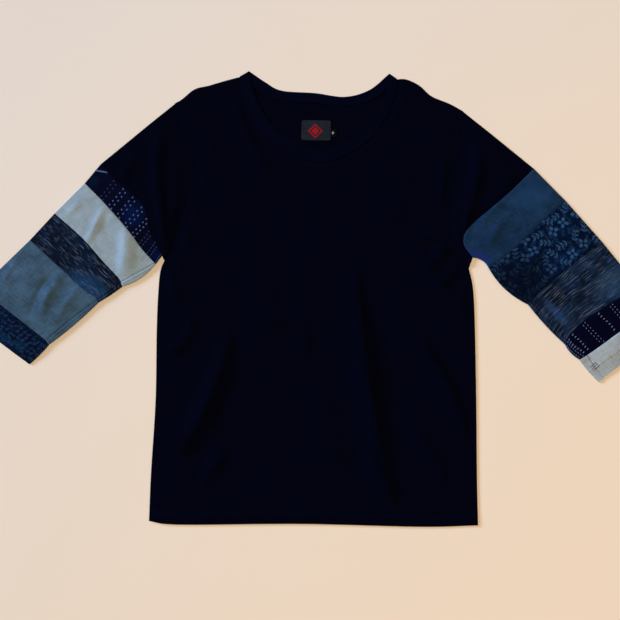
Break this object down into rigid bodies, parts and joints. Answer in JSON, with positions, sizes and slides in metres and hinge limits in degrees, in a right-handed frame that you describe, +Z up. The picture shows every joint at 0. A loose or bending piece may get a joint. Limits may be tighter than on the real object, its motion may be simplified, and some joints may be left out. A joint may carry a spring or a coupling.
{
  "type": "patchwork-sleeve t-shirt, laid flat",
  "caption": "Dark jersey t-shirt lying flat, front up, with seven-tenths sleeves pieced from strips of dyed and printed cloth.",
  "frame": {"origin": "centre of the garment's bounding box on the floor that it lies on", "axes": "+X towards the wearer's left sleeve, along the spread of the sleeves; +Y from the hem to the neck; +Z up from the floor"},
  "size_m": [1.068, 0.6866, 0.0098],
  "materials": {
    "navy_jersey": "soft matt cotton jersey, nearly black navy",
    "navy_rib": "fine ribbed cotton, nearly black navy",
    "label_weave": "charcoal damask-woven label with a plain red woven mark",
    "tab_weave": "black woven tab with a plain pale dash",
    "dotted_navy": "navy cotton with rows of small pale dashes",
    "pale_chambray": "pale blue-grey plain weave, soft creases",
    "streaked_indigo": "dark indigo cotton with short pale streaks along the weft",
    "washed_denim": "washed slate-blue denim",
    "leaf_print": "navy cotton with a small pale leaf print",
    "indigo_chambray": "mid indigo plain weave",
    "floral_print": "navy cotton with muted blue blossoms and sprigs",
    "stitched_navy": "navy cotton with lines of pale running stitch",
    "pale_grey_cloth": "pale grey plain weave"
  },
  "bodies": {
    "root": {"back_panel": "navy_jersey", "front_panel": "navy_jersey", "neckband": "navy_rib", "neck_label": "label_weave", "size_tab": "tab_weave", "left_sleeve_cap": "navy_jersey", "left_dotted_strip": "dotted_navy", "left_pale_strip": "pale_chambray", "left_streak_strip": "streaked_indigo", "left_denim_strip": "washed_denim", "left_print_cuff": "leaf_print", "right_sleeve_cap": "navy_jersey", "right_denim_strip": "indigo_chambray", "right_floral_strip": "floral_print", "right_streak_strip": "streaked_indigo", "right_stitched_strip": "stitched_navy", "right_pale_cuff": "pale_grey_cloth"}
  },
  "joints": []
}
